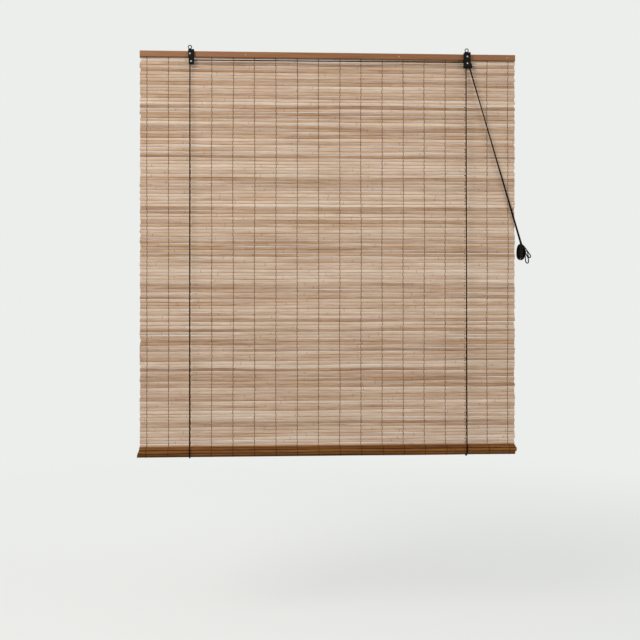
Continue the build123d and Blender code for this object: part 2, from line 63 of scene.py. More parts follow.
# Sizes shared with the CAD source
slat_count = 121
slat_width = 8.3 * MM
slat_pitch = 10.45 * MM
slat_depth = 2.2 * MM
string_count = 18
string_inset = 22 * MM
cord_radius = 1.5 * MM
cord_line_radius = 4.0 * MM
sheave_y = {"rear": -4.3 * MM, "front": -9.7 * MM}

# Sizes of the scene's own slats, threads, roll and cords
slat_face = 9.9 * MM
thread_radius = 0.7 * MM
turn_pitch = 2.5 * MM
roll_radius = 18.2 * MM
roll_rise = 1.3 * MM
cord_edge_radius = 1.8 * MM
knot_radius = 2.7 * MM

# Places read from the frame
mat_low, mat_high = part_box("slat_mat")
mat_top_z = mat_high.z
mat_front_y = mat_low.y
mat_mid_y = mat_front_y + slat_depth / 2
mat_half = mat_high.x
dowel_low, dowel_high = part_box("bottom_dowel")
roll_y = (dowel_low.y + dowel_high.y) / 2
roll_z = (dowel_low.z + dowel_high.z) / 2
axles = {side: sum(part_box(f"{side}_axle"), Vector()) / 2 for side in ("left", "right")}
cleat_middle = sum(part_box("cord_cleat"), Vector()) / 2
batten_low, batten_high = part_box("head_batten")
bight_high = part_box("left_bight")[1]
lift = next(joint for joint in frame["joints"] if joint["name"] == "roll_lift")
lift_height = lift["range_m"][1] * lift["axis"][2]
string_step = 2 * (mat_half - string_inset) / (string_count - 1)
string_xs = [string_inset - mat_half + string_step * k for k in range(string_count)]
luck = random.Random(7)
phase_reach = 6.28


def srgb(red, green, blue):
    """A colour given in 0 to 255 display values, as the linear values that shaders take."""
    shares = [value / 255 for value in (red, green, blue)]
    return tuple(c / 12.92 if c <= 0.04045 else ((c + 0.055) / 1.055) ** 2.4 for c in shares) + (1,)


# Materials


def new_material(name, roughness, metallic=0.0, gloss=0.5):
    """A material, with its node tree and its shader."""
    material = bpy.data.materials.new(name)
    material.use_nodes = True
    tree = material.node_tree
    shader = tree.nodes["Principled BSDF"]
    shader.inputs["Roughness"].default_value = roughness
    shader.inputs["Metallic"].default_value = metallic
    shader.inputs["Specular IOR Level"].default_value = gloss
    return material, tree, shader


def add_node(tree, kind, **settings):
    """A node with its own settings, and with values for its sockets under their names."""
    node = tree.nodes.new(kind)
    for key, value in settings.items():
        if key in node.inputs:
            node.inputs[key].default_value = value
        else:
            setattr(node, key, value)
    return node


def math_node(tree, operation, first, second):
    """A Math node whose two inputs are links or plain numbers."""
    node = add_node(tree, "ShaderNodeMath", operation=operation)
    for socket, value in zip(node.inputs, (first, second)):
        if isinstance(value, (int, float)):
            socket.default_value = value
        else:
            tree.links.new(value, socket)
    return node.outputs[0]


def colour_ramp(tree, factor, stops):
    """A colour ramp from a list of (place, colour)."""
    ramp = add_node(tree, "ShaderNodeValToRGB").color_ramp
    node = tree.nodes[-1]
    while len(ramp.elements) < len(stops):
        ramp.elements.new(0.5)
    for element, (place, colour) in zip(ramp.elements, stops):
        element.position = place
        element.color = colour
    tree.links.new(factor, node.inputs["Fac"])
    return node.outputs["Color"]


def mix_colour(tree, factor, first, second, blend="MIX"):
    """Mixes two colours, links or plain values, by a factor."""
    node = add_node(tree, "ShaderNodeMix", data_type="RGBA", blend_type=blend)
    for socket, value in ((node.inputs[0], factor), (node.inputs[6], first), (node.inputs[7], second)):
        if isinstance(value, (int, float, tuple)):
            socket.default_value = value
        else:
            tree.links.new(value, socket)
    return node.outputs[2]


def stretched_noise(tree, stretch, scale, detail=4.0, shift=None):
    """Noise on Object coordinates, drawn out along one axis or another, moved along by a shift."""
    place = add_node(tree, "ShaderNodeTexCoord").outputs["Object"]
    if shift is not None:
        moved = add_node(tree, "ShaderNodeVectorMath", operation="ADD")
        tree.links.new(place, moved.inputs[0])
        tree.links.new(shift, moved.inputs[1])
        place = moved.outputs[0]
    mapping = add_node(tree, "ShaderNodeMapping", Scale=stretch)
    tree.links.new(place, mapping.inputs["Vector"])
    noise = add_node(tree, "ShaderNodeTexNoise", Scale=scale, Detail=detail)
    tree.links.new(mapping.outputs["Vector"], noise.inputs["Vector"])
    return noise.outputs["Fac"]


def add_bump(tree, shader, height, strength, distance):
    """A bump from a height link."""
    bump = add_node(tree, "ShaderNodeBump", Strength=strength, Distance=distance)
    tree.links.new(height, bump.inputs["Height"])
    tree.links.new(bump.outputs["Normal"], shader.inputs["Normal"])


def bamboo(name, dark, middle, light, joint_and_shade_colour):
    """Split bamboo: slats of their own tone, with fibres, blotches and joint lines, and painted shade along
    each slat's long edges, where neighbouring slats meet.
    """
    tone_share, fibre_share, blotch_share = 0.38, 0.58, 0.5
    joints_per_metre, joint_share = 2.9, 0.007
    joint_strength, edge_shade_strength = 0.35, 0.75
    shift_reach = 40.0
    material, tree, shader = new_material(name, roughness=0.6, gloss=0.2)
    tone = add_node(tree, "ShaderNodeAttribute", attribute_name="slat_tone").outputs["Fac"]
    shift = add_node(tree, "ShaderNodeAttribute", attribute_name="slat_shift").outputs["Fac"]
    offset = math_node(tree, "MULTIPLY", shift, shift_reach)
    fibre = stretched_noise(tree, (1.6, 60, 60), scale=14.0, detail=6.0, shift=offset)
    blotch = stretched_noise(tree, (1.0, 4, 4), scale=3.2, detail=3.0, shift=offset)
    toned = math_node(tree, "MULTIPLY", tone, tone_share)
    value = math_node(tree, "ADD", toned, math_node(tree, "MULTIPLY", fibre, fibre_share))
    blotched = math_node(tree, "SUBTRACT", blotch, 0.5)
    value = math_node(tree, "ADD", value, math_node(tree, "MULTIPLY", blotched, blotch_share))
    colour = colour_ramp(tree, value, [(0.24, dark), (0.48, middle), (0.74, light)])
    place = add_node(tree, "ShaderNodeSeparateXYZ")
    tree.links.new(add_node(tree, "ShaderNodeTexCoord").outputs["Object"], place.inputs[0])
    along = math_node(tree, "MULTIPLY", place.outputs[0], joints_per_metre)
    cane = math_node(tree, "FRACT", math_node(tree, "ADD", along, offset), 0.0)
    joint = math_node(tree, "LESS_THAN", cane, joint_share)
    colour = mix_colour(tree, math_node(tree, "MULTIPLY", joint, joint_strength), colour, joint_and_shade_colour)
    # Painted shade: the band along each slat's long edges is darkened toward the joint colour, standing in
    # for the shade between neighbouring slats
    edge = add_node(tree, "ShaderNodeAttribute", attribute_name="slat_edge_shade").outputs["Fac"]
    colour = mix_colour(tree, math_node(tree, "MULTIPLY", edge, edge_shade_strength), colour, joint_and_shade_colour)
    tree.links.new(colour, shader.inputs["Base Color"])
    add_bump(tree, shader, fibre, strength=0.35, distance=0.6 * MM)
    return material


def planed_wood(name, dark, light, stretch):
    """Planed, stained wood with grain along its length."""
    grain_share, band_share = 0.65, 0.35
    material, tree, shader = new_material(name, roughness=0.45)
    grain = stretched_noise(tree, stretch, scale=9.0, detail=8.0)
    band_stretch = tuple(s / 5 for s in stretch)
    band = stretched_noise(tree, band_stretch, scale=5.0, detail=2.0)
    grained = math_node(tree, "MULTIPLY", grain, grain_share)
    value = math_node(tree, "ADD", grained, math_node(tree, "MULTIPLY", band, band_share))
    colour = colour_ramp(tree, value, [(0.34, dark), (0.62, light)])
    tree.links.new(colour, shader.inputs["Base Color"])
    add_bump(tree, shader, grain, strength=0.25, distance=0.4 * MM)
    return material


def braid(name, colour, painted_sheen_colour):
    """Braided cord: two sets of strands that cross, on a UV map with one unit to a strand's pitch; the
    strands' crowns are painted lighter and the hollows between them darker.
    """
    strands_round = 4
    material, tree, shader = new_material(name, roughness=0.85, gloss=0.04)
    place = add_node(tree, "ShaderNodeSeparateXYZ")
    tree.links.new(add_node(tree, "ShaderNodeTexCoord").outputs["UV"], place.inputs[0])
    around = math_node(tree, "MULTIPLY", place.outputs[1], strands_round * 2 * math.pi)
    along = math_node(tree, "MULTIPLY", place.outputs[0], 2 * math.pi)
    one_way = math_node(tree, "SINE", math_node(tree, "ADD", along, around), 0.0)
    other_way = math_node(tree, "SINE", math_node(tree, "SUBTRACT", along, around), 0.0)
    strands = math_node(tree, "MAXIMUM", one_way, other_way)
    height = math_node(tree, "MULTIPLY_ADD", strands, 0.5)
    tree.nodes[-1].inputs[2].default_value = 0.5
    # Painted sheen and painted shade: the colour runs from dark in the hollows to light on the strands'
    # crowns
    tree.links.new(mix_colour(tree, height, colour, painted_sheen_colour), shader.inputs["Base Color"])
    add_bump(tree, shader, height, strength=0.8, distance=0.3 * MM)
    return material


def worn(name, colour, worn_colour, roughness, scale, metallic=0.0, gloss=0.5):
    """A painted, plated or moulded finish with faint marks."""
    material, tree, shader = new_material(name, roughness, metallic, gloss)
    marks = stretched_noise(tree, (1, 1, 1), scale, detail=6.0)
    mixed = colour_ramp(tree, marks, [(0.42, colour), (0.72, worn_colour)])
    tree.links.new(mixed, shader.inputs["Base Color"])
    rough = add_node(tree, "ShaderNodeMapRange")
    for socket, share in (("To Min", 0.8), ("To Max", 1.25)):
        rough.inputs[socket].default_value = roughness * share
    tree.links.new(marks, rough.inputs["Value"])
    tree.links.new(rough.outputs[0], shader.inputs["Roughness"])
    add_bump(tree, shader, marks, strength=0.12, distance=0.2 * MM)
    return material


# One bamboo in two copies: the hanging mat's colours are painted paler, as painted light shining through
# the slats from behind, and the roll's colours are painted darker, as painted shade on the roll
mat_bamboo_painted_light = bamboo(
    "mat_bamboo_painted_light",
    dark=srgb(160, 122, 88),
    middle=srgb(204, 170, 140),
    light=srgb(236, 212, 188),
    joint_and_shade_colour=srgb(92, 56, 30),
)
roll_bamboo_painted_shade = bamboo(
    "roll_bamboo_painted_shade",
    dark=srgb(70, 36, 8),
    middle=srgb(116, 70, 25),
    light=srgb(158, 105, 48),
    joint_and_shade_colour=srgb(38, 18, 4),
)
batten_wood = planed_wood("batten_wood", srgb(119, 73, 35), srgb(149, 97, 52), stretch=(0.8, 40, 40))
dowel_wood = planed_wood("dowel_wood", srgb(122, 86, 52), srgb(165, 125, 84), stretch=(0.8, 30, 30))
cord_black = braid("cord_black", srgb(8, 5, 3), srgb(30, 20, 13))
thread_brown = worn(
    "thread_brown", srgb(62, 33, 17), srgb(96, 58, 33), roughness=0.9, scale=900.0, gloss=0.1
)
black_paint = worn(
    "black_paint", srgb(5, 5, 5), srgb(18, 17, 16), roughness=0.55, scale=260.0, gloss=0.1
)
bright_plate = worn(
    "bright_plate", srgb(206, 202, 194), srgb(168, 163, 154), roughness=0.3, metallic=1.0, scale=500.0
)
staple_steel = worn(
    "staple_steel", srgb(176, 174, 170), srgb(140, 136, 130), roughness=0.35, metallic=1.0, scale=700.0
)
sheave_nylon = worn(
    "sheave_nylon", srgb(9, 8, 8), srgb(24, 22, 21), roughness=0.55, scale=300.0, gloss=0.12
)
cleat_plastic = worn(
    "cleat_plastic", srgb(6, 6, 5), srgb(20, 18, 16), roughness=0.55, scale=240.0, gloss=0.1
)


# Modelling by operators


def deselect_all():
    """Leaves nothing selected, in object mode."""
    bpy.ops.object.select_all(action="DESELECT")


def select_only(*objects):
    """Selects these objects alone, the first one active."""
    deselect_all()
    for piece in objects:
        piece.select_set(True)
    bpy.context.view_layer.objects.active = objects[0]


def pick_edges(piece, wanted):
    """In edit mode, selects the edges whose two ends pass a test, and nothing else."""
    bpy.ops.mesh.select_mode(type="EDGE")
    bpy.ops.mesh.select_all(action="DESELECT")
    mesh = bmesh.from_edit_mesh(piece.data)
    for edge in mesh.edges:
        edge.select_set(wanted(*[v.co for v in edge.verts]))
    bmesh.update_edit_mesh(piece.data)


def finish_mesh(piece, material, smooth_angle=40):
    """Gives a finished mesh its material and its smooth shading."""
    piece.data.materials.clear()
    piece.data.materials.append(material)
    select_only(piece)
    bpy.ops.object.shade_smooth_by_angle(angle=math.radians(smooth_angle))
    return piece


def joined(name, pieces, material):
    """Joins meshes into one named piece."""
    select_only(*pieces)
    bpy.ops.object.join()
    piece = bpy.context.object
    piece.name = name
    piece.data.name = name
    return finish_mesh(piece, material)


# Cords and threads, as tubes along NURBS splines


def route_curve(name, routes, radius, sides=1, steps=8):
    """A curve with one NURBS spline for each route of points; a radius of 0 leaves it a bare line."""
    curve = bpy.data.curves.new(name, "CURVE")
    curve.dimensions = "3D"
    for route in routes:
        spline = curve.splines.new("NURBS")
        spline.points.add(len(route) - 1)
        for point, place in zip(spline.points, route):
            point.co = (*place, 1)
        spline.order_u = 3
        spline.use_endpoint_u = True
        spline.resolution_u = steps
    curve.bevel_depth = radius
    curve.bevel_resolution = sides
    curve.use_fill_caps = radius > 0
    piece = bpy.data.objects.new(name, curve)
    bpy.context.collection.objects.link(piece)
    return piece


def route_line(route, steps=8):
    """Points along a route's spline, in order."""
    bare = route_curve("bare_line", [route], 0, 0, steps)
    bpy.context.view_layer.update()
    graph = bpy.context.evaluated_depsgraph_get()
    mesh = bpy.data.meshes.new_from_object(bare.evaluated_get(graph))
    line = [v.co.copy() for v in mesh.vertices]
    bpy.data.objects.remove(bare)
    bpy.data.meshes.remove(mesh)
    return line


def line_length(line):
    """Length of a line of points."""
    return sum((b - a).length for a, b in zip(line, line[1:]))


def tube(name, routes, radius, material, sides=2, steps=8):
    """Mesh tubes along routes, with UVs that count strand pitches along the cord."""
    lengths = [line_length(route_line(route, steps)) for route in routes]
    piece = route_curve(name, routes, radius, sides, steps)
    select_only(piece)
    bpy.ops.object.convert(target="MESH")
    piece = bpy.context.object
    piece.data.name = name
    layer = piece.data.uv_layers.active
    if layer:
        pitch = 4 * cord_radius
        for loop in layer.data:
            loop.uv.x *= max(lengths) / pitch
    return finish_mesh(piece, material, smooth_angle=60)


# Pieces of the hanging mat that lie wholly above where the roll can climb to hang from the head; the others
# stay where they are


def follow_roll(piece, top_z, foot_z, still_z, low_z):
    """Attaches the piece to the head when its foot is no lower than still_z; otherwise bakes its transform
    and leaves it where it is.
    """
    shares = [min(max((still_z - z) / (still_z - low_z), 0), 1) for z in (top_z, foot_z)]
    if shares[1] <= 0:
        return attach(piece, "head")
    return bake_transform(piece)


# Hanging mat


def slat_pattern():
    """One slat about the origin: a bar with a rounded front and eased edges behind, cut into lengths."""
    length_cuts = 23
    crown_bevel, back_bevel = 1.8 * MM, 0.3 * MM
    back_y = 0.49 * slat_depth
    edge_shade_band = 0.6 * MM
    deselect_all()
    bpy.ops.mesh.primitive_cube_add(size=1)
    slat = bpy.context.object
    slat.scale = (2 * mat_half, slat_depth, slat_face)
    bpy.ops.object.transform_apply(location=False, rotation=False, scale=True)
    bpy.ops.object.mode_set(mode="EDIT")
    pick_edges(slat, lambda a, b: abs(a.x - b.x) > mat_half)
    bpy.ops.mesh.subdivide(number_cuts=length_cuts)
    pick_edges(slat, lambda a, b: abs(a.x - b.x) > MM and a.y < 0 and b.y < 0)
    bpy.ops.mesh.bevel(offset=crown_bevel, segments=3, affect="EDGES")
    pick_edges(slat, lambda a, b: abs(a.x - b.x) > MM and min(a.y, b.y) > back_y)
    bpy.ops.mesh.bevel(offset=back_bevel, segments=1, affect="EDGES")
    bpy.ops.object.mode_set(mode="OBJECT")
    # Marks the band along each long edge of the slat where the material paints shade between neighbouring
    # slats
    edges = slat.data.attributes.new("slat_edge_shade", "FLOAT", "POINT")
    for vertex, mark in zip(slat.data.vertices, edges.data):
        mark.value = abs(vertex.co.z) > slat_face / 2 - edge_shade_band
    return slat


def wavy(x, waves):
    """Sum of slow waves along a slat."""
    return sum(size * np.sin(2 * math.pi * x / length + phase) for size, length, phase in waves)


def slat_waves(size):
    """Three slow waves of chance length and phase."""
    return [
        (luck.uniform(0.3, 1) * size, luck.uniform(0.25, 1.3), luck.uniform(0, phase_reach))
        for _ in range(3)
    ]


def laid_slat(pattern, turn, place, ends, face_share=1.0, sway=0.28 * MM):
    """A copy of the pattern with its own width, waves, tone and ends, turned and put in its place."""
    width_wave = 0.03
    depth_sway = 0.12 * MM
    mesh = pattern.data.copy()
    slat = bpy.data.objects.new("slat", mesh)
    bpy.context.collection.objects.link(slat)
    points = np.empty(len(mesh.vertices) * 3)
    mesh.vertices.foreach_get("co", points)
    points = points.reshape(-1, 3)
    x = points[:, 0].copy()
    width = face_share + luck.uniform(-0.05, 0.03)
    width += wavy(x, [(width_wave, luck.uniform(0.2, 0.6), luck.uniform(0, phase_reach))])
    points[:, 2] = points[:, 2] * width + wavy(x, slat_waves(sway))
    depth = 1 + luck.uniform(-0.15, 0.1)
    points[:, 1] = points[:, 1] * depth + wavy(x, slat_waves(depth_sway))
    for side, end in zip((-1, 1), ends):
        points[:, 0] += np.where(x * side > mat_half - MM, side * end, 0)
    y, z = points[:, 1].copy(), points[:, 2].copy()
    points[:, 1] = place[0] + y * math.cos(turn) - z * math.sin(turn)
    points[:, 2] = place[1] + y * math.sin(turn) + z * math.cos(turn)
    mesh.vertices.foreach_set("co", points.ravel())
    for name, value in (("slat_tone", luck.betavariate(2.2, 2.0)), ("slat_shift", luck.random())):
        layer = mesh.attributes.new(name, "FLOAT", "POINT")
        layer.data.foreach_set("value", np.full(len(mesh.vertices), value, np.float32))
    return slat


still_slats = int((mat_top_z - roll_z - lift_height) / slat_pitch)
panel_slats = 10
last_start = slat_count - panel_slats // 2
panel_starts = [0, *range(still_slats, last_start, panel_slats)]
panel_ends = panel_starts[1:] + [slat_count]
still_z = mat_top_z - still_slats * slat_pitch
pattern = slat_pattern()


def slat_z(number):
    """Height of a slat's middle line."""
    return mat_top_z - slat_width / 2 - slat_pitch * number


def gap_z(number):
    """Height of the middle of the gap above a slat."""
    return slat_z(number) + slat_pitch / 2


string_sway = 0.6 * MM
string_waves = [slat_waves(string_sway) for _ in string_xs]


def thread_routes(first, last):
    """Two threads at each string's place that pass before and behind the slats in turn."""
    reach = slat_depth / 2 + 0.7 * thread_radius
    half_grip = 0.36 * slat_width
    apart = 0.8 * thread_radius
    routes = []
    for string_x, waves in zip(string_xs, string_waves):
        for side in (-1, 1):
            marks = [(mat_mid_y, gap_z(first))]
            for number in range(first, last):
                y = mat_mid_y + side * reach * (1 if number % 2 else -1)
                marks += [(y, slat_z(number) + half_grip), (y, slat_z(number) - half_grip)]
            marks.append((mat_mid_y, gap_z(last)))
            x = string_x + side * apart
            routes.append([(x + wavy(z, waves), y, z) for y, z in marks])
    return routes


for panel, (first, last) in enumerate(zip(panel_starts, panel_ends), 1):
    slats = []
    for number in range(first, last):
        place = (mat_mid_y, slat_z(number) + luck.uniform(-0.2, 0.2) * MM)
        ends = [luck.triangular(-2.6, 1.6, 0) * MM for _ in range(2)]
        slats.append(laid_slat(pattern, 0, place, ends))
    slat_panel = joined(f"slat_panel_{panel:02d}", slats, mat_bamboo_painted_light)
    threads = thread_routes(first, last)
    string_name = f"string_panel_{panel:02d}"
    string_panel = tube(string_name, threads, thread_radius, thread_brown, sides=0, steps=2)
    for piece, node, slot in ((slat_panel, "slat_mat", "bamboo"), (string_panel, "warp_strings", "string")):
        follow_roll(piece, gap_z(first), gap_z(last), still_z, roll_z)
        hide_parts(node)


# Rolled part of the mat: its lower slats stand out at the left end, and it is rounded off at the right end


def roll_radius_at(angle):
    """Radius of the roll's outer face after turning through an angle from its back."""
    return roll_radius - turn_pitch * angle / (2 * math.pi)


roll_seat = 0.25 * MM
roll_face_share = 0.86
roll_sway = 0.7 * MM
left_reach, left_lag = 6.5, 0.3
right_reach, right_cut = 2.5, 5.5
roll_slats = []
roll_angles = []
angle = 0
inner_radius = (dowel_high.y - dowel_low.y) / 2 + slat_depth
while roll_radius_at(angle + slat_width / roll_radius_at(angle)) > inner_radius:
    radius = roll_radius_at(angle) - slat_depth / 2 - roll_seat
    middle = angle + slat_width / 2 / roll_radius_at(angle)
    roll_angles.append(middle)
    place = (roll_y + radius * math.cos(middle), roll_z + roll_rise - radius * math.sin(middle))
    left_end = (left_reach * max(math.sin(middle - left_lag), 0) + luck.uniform(-2, 1.2)) * MM
    right_end = (right_reach * max(-math.cos(middle), 0) - right_cut + luck.uniform(-1, 1)) * MM
    ends = (left_end, right_end)
    slat = laid_slat(pattern, math.pi - middle, place, ends, roll_face_share, roll_sway)
    roll_slats.append(slat)
    angle += slat_pitch / roll_radius_at(angle)
slat_roll = joined("slat_roll", roll_slats, roll_bamboo_painted_shade)
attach(slat_roll, "roll")
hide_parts("rolled_mat")

outer_slats = 13
thread_lift = 0.3 * thread_radius
half_turn_on_slat = 0.18
roll_thread_radius = 1.15 * thread_radius
roll_routes = []
for string_x, waves in zip(string_xs, string_waves):
    route = []
    x = string_x + wavy(roll_z, waves)
    for middle in roll_angles[:outer_slats]:
        radius = roll_radius_at(middle) + thread_lift
        for turn in (-half_turn_on_slat, half_turn_on_slat):
            y, z = radius * math.cos(middle + turn), -radius * math.sin(middle + turn)
            route.append((x, roll_y + y, roll_z + roll_rise + z))
    roll_routes.append(route)
roll_strings = tube("roll_strings", roll_routes, roll_thread_radius, thread_brown, sides=0, steps=3)
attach(roll_strings, "roll")
bpy.data.objects.remove(pattern)


# Lift cords: the taut runs before and behind the mat, and the bights under the roll
cord_x = {side: axles[side].x - cord_line_radius for side in axles}
sling_reach = roll_radius + cord_edge_radius
front_line_y = roll_y - sling_reach
back_line_y = bight_high.y - cord_radius
front_top_y = {"left": sheave_y["rear"], "right": sheave_y["front"]}


def lay_cord(name, route, node, steps=8):
    """A length of cord in place of a CAD node."""
    cord = tube(name, [route], cord_edge_radius, cord_black, steps=steps)
    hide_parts(node)
    return cord


for side, axle in axles.items():
    x = cord_x[side]
    run_top = Vector((x, front_top_y[side], axle.z))
    run_foot = Vector((x, front_line_y, roll_z))
    marks = [run_top, (run_top + run_foot) / 2, run_foot]
    run = lay_cord(f"{side}_front_cord", marks, f"{side}_front_run", steps=1)
    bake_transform(run)
    sling_foot_z = roll_z + roll_rise - sling_reach
    sling_route = [(back_line_y, roll_z), (back_line_y, sling_foot_z)]
    sling_route += [(front_line_y, sling_foot_z), (front_line_y, roll_z)]
    sling = lay_cord(f"{side}_sling_cord", [(x, y, z) for y, z in sling_route], f"{side}_bight")
    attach(sling, "sling")
    knot_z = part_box(f"{side}_back_run")[1].z - knot_radius
    for part, top_z, foot_z in (("upper", knot_z, still_z), ("lower", still_z, roll_z)):
        marks = [(x, back_line_y, z) for z in (top_z, (top_z + foot_z) / 2, foot_z)]
        run = lay_cord(f"{side}_back_cord_{part}", marks, f"{side}_back_run", steps=1)
        if part == "upper":
            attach(run, "head")
        else:
            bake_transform(run)


# Knots of the two lift cords behind the batten


def knot_pattern(name, radius, waist, squash):
    """An overhand knot about the origin, as a ball pinched by two turns of its thread or cord."""
    deselect_all()
    bpy.ops.mesh.primitive_uv_sphere_add(segments=16, ring_count=10, radius=radius)
    knot = bpy.context.object
    knot.name = name
    bpy.ops.object.mode_set(mode="EDIT")
    low, high = 0.25 * radius, 0.4 * radius
    pick_edges(knot, lambda a, b: abs(a.z - b.z) < 0.01 * radius and low < abs(a.z) < high)
    bpy.ops.transform.resize(value=(waist, waist, 1), center_override=(0, 0, 0))
    bpy.ops.mesh.select_all(action="SELECT")
    bpy.ops.transform.resize(value=squash, center_override=(0, 0, 0))
    bpy.ops.object.mode_set(mode="OBJECT")
    return knot


def copied(pattern, place):
    """A copy of a pattern with its own mesh, put in its place."""
    copy = bpy.data.objects.new(pattern.name, pattern.data.copy())
    bpy.context.collection.objects.link(copy)
    copy.data.transform(Matrix.Translation(place))
    return copy


pattern = knot_pattern("cord_knot", knot_radius, waist=0.84, squash=(1, 1, 1))
for side in axles:
    knot_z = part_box(f"{side}_back_run")[1].z - knot_radius
    knot = copied(pattern, (cord_x[side], back_line_y, knot_z))
    knot.name = knot.data.name = f"{side}_cord_knot"
    finish_mesh(knot, cord_black, smooth_angle=80)
    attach(knot, "head")
bpy.data.objects.remove(pattern)


# Cord across the head, from the left sheave to the cord lock, where it turns down at a lean
lean = math.radians(16.78)
turn_reach = cord_line_radius * math.tan((math.pi / 2 - lean) / 2)
straight_diameters = 6
straight_on = straight_diameters * 2 * cord_radius
left_over_z = axles["left"].z + cord_line_radius
right_over_z = axles["right"].z + cord_line_radius
leave = Vector((math.cos(lean), 0, math.sin(lean))) * cord_line_radius + axles["right"]


def over_sheave(points, y):
    """Route points at the depth of a sheave."""
    return [Vector((x, y, z)) for x, z in points]


cross_points = [
    (cord_x["left"], axles["left"].z),
    (cord_x["left"], left_over_z),
    (axles["left"].x + straight_on, left_over_z),
    (axles["right"].x - straight_on, right_over_z),
    (axles["right"].x + turn_reach, right_over_z),
    (leave.x, leave.z),
]
cross_route = over_sheave(cross_points, sheave_y["rear"])
cross_cord = lay_cord("cross_cord", cross_route, "cross_run", steps=6)
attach(cross_cord, "head")


# Pull cords: down from the lock to the wall cleat, then wound on it
layer_y = [3.85 * MM, 6.95 * MM, 10.05 * MM, 13.15 * MM]
pull_step = 1.7


def cleat_point(x, y, z):
    """A point a number of millimetres across and up from the cleat's middle, at a depth y."""
    return Vector((cleat_middle.x + x * MM, y, cleat_middle.z + z * MM))


def cleat_turns(start, laps, end, half_width, half_height, egg_share, bulge, layers):
    """Points of the laps wound on the cleat, between two angles of the top bend, fuller below."""
    points_per_lap = 16
    side = 2 * (half_height - half_width)
    bend = math.pi * half_width
    lap = 2 * (side + bend)
    whole = laps * lap + (end - start) / 180 * bend
    steps = round(points_per_lap * whole / lap)
    points = []
    for k in range(steps + 1):
        along = (start / 180 * bend + whole * k / steps) % lap
        half_turn, along = divmod(along, side + bend)
        if along < bend:
            x = -half_width * math.cos(along / half_width)
            z = side / 2 + half_width * math.sin(along / half_width)
        else:
            x, z = half_width, side / 2 - (along - bend)
        if half_turn:
            x, z = -x, -z
        high = z / half_height
        y = layers[0] + (layers[1] - layers[0]) * k / steps
        points.append(cleat_point(x * (1 + bulge * (1 - high * high) - egg_share * high), y, z))
    return points


def pull_route(first, side_step):
    """A taut run from the lock to above the cleat, with a point near each end."""
    top_reach = 27
    last = cleat_point(side_step, layer_y[0], top_reach)
    along = (last - first).normalized() * straight_on
    return [first, first + along, last - along, last]


right_lead = [
    (cord_x["right"], axles["right"].z),
    (cord_x["right"], right_over_z),
    (axles["right"].x + turn_reach, right_over_z),
]

# The point past the right bend is as far from the sheave's leaving point as the bend's corner, so that
# the curve touches the sheave there
right_bend = over_sheave(right_lead, sheave_y["front"])
right_leave = 2 * Vector((leave.x, sheave_y["front"], leave.z)) - right_bend[-1]
right_pull_route = right_bend + pull_route(right_leave, -pull_step)
right_pull_route += [cleat_point(-0.9, layer_y[0], 20.4)]
right_pull_route += cleat_turns(
    start=112,
    laps=3,
    end=112,
    half_width=6.2,
    half_height=14.2,
    egg_share=0.05,
    bulge=0,
    layers=(layer_y[0], layer_y[3]),
)

left_leave = Vector((leave.x, sheave_y["rear"], leave.z))
left_pull_route = pull_route(left_leave, pull_step) + [cleat_point(3.2, layer_y[0], 22.0)]
left_pull_route += cleat_turns(
    start=136,
    laps=3,
    end=52,
    half_width=8.0,
    half_height=19.6,
    egg_share=0.12,
    bulge=0.14,
    layers=(layer_y[0], layer_y[3]),
)
left_pull_route += cleat_turns(
    start=90,
    laps=2,
    end=128,
    half_width=8.6,
    half_height=25.6,
    egg_share=0.12,
    bulge=0.4,
    layers=(layer_y[3], layer_y[1]),
)

# The loose end, in millimetres across, in depth and up from the cleat's middle
off_the_top = [(13.4, 4.4, 14.4), (17.6, 3.6, 7.4)]
upper_loop = [(27.4, 3.0, -6.6), (31.4, 2.7, -12.4), (30.0, 2.2, -18.2)]
upper_loop += [(24.6, 1.8, -18.2), (21.8, 1.2, -10.2)]
fold = [(21.2, 1.0, -3.0), (19.6, 1.0, 3.0), (14.0, 1.0, 3.0)]
fold += [(12.4, 1.0, -3.6), (12.6, 1.0, -12.4)]
lower_loop = [(14.0, 1.1, -28.4), (16.4, 1.5, -35.6), (22.8, 1.9, -36.0)]
lower_loop += [(24.6, 2.5, -29.6), (23.4, 3.1, -20.0)]
tucked_tail = [(19.6, 4.0, -12.2), (15.2, 4.2, -4.6), (13.6, 4.2, 4.4), (11.6, 4.2, 13.0)]
loose_end = off_the_top + upper_loop + fold + lower_loop + tucked_tail
left_pull_route += [cleat_point(x, y * MM, z) for x, y, z in loose_end]

route_steps = 6
for name, route, nodes in (
    ("left_wound_cord", left_pull_route, ("left_pull_cord", "cord_hank", "cord_loops")),
    ("right_wound_cord", right_pull_route, ("right_pull_cord",)),
):
    cord = tube(name, [route], cord_edge_radius, cord_black, steps=route_steps)
    line = route_line(route, route_steps)
    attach(cord, "head")
    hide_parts(*nodes)


# Small fixings on the batten


def string_knots():
    """A pinched knot under the batten on each string."""
    pattern = knot_pattern("string_knot", 1.3 * MM, waist=0.76, squash=(1.15, 0.75, 0.9))
    knot_y, knot_z = mat_front_y - 0.9 * MM, batten_low.z - 0.8 * MM
    knots = [copied(pattern, (x, knot_y, knot_z)) for x in string_xs]
    bpy.data.objects.remove(pattern)
    return joined("string_knots", knots, thread_brown)


